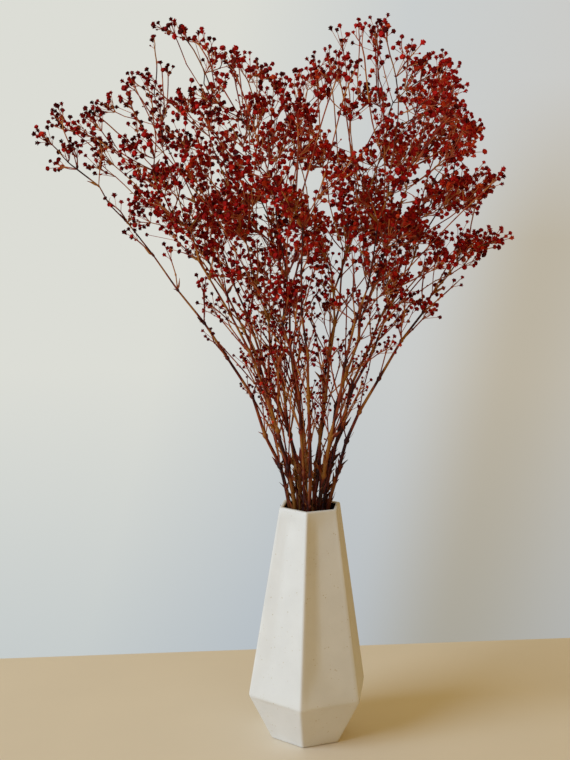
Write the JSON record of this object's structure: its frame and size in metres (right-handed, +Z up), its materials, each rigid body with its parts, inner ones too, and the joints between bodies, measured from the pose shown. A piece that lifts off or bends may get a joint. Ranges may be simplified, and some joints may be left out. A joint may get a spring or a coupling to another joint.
{
  "type": "preserved gypsophila bouquet in a faceted vase",
  "caption": "Tall airy bouquet of dark red preserved gypsophila, finely branched sprays with small florets standing in a white hexagonal faceted ceramic vase.",
  "frame": {"origin": "centre of the vase's flat base, on the surface that it stands on", "axes": "+Z up along the vase's axis; one corner of the hexagonal vase points to -Y; the bouquet is widest about along X"},
  "size_m": [0.3728, 0.2928, 0.613],
  "materials": {
    "ceramic": "matte",
    "flower": "matte",
    "stem": "matte"
  },
  "bodies": {
    "root": {"vase": "ceramic", "spray_01": "flower", "spray_02": "flower", "spray_03": "flower", "spray_04": "flower", "spray_05": "flower", "spray_06": "flower", "spray_07": "flower", "spray_08": "flower", "spray_09": "flower", "spray_10": "flower", "spray_11": "flower", "spray_12": "flower", "spray_13": "flower", "spray_14": "flower", "spray_15": "flower"}
  },
  "joints": []
}
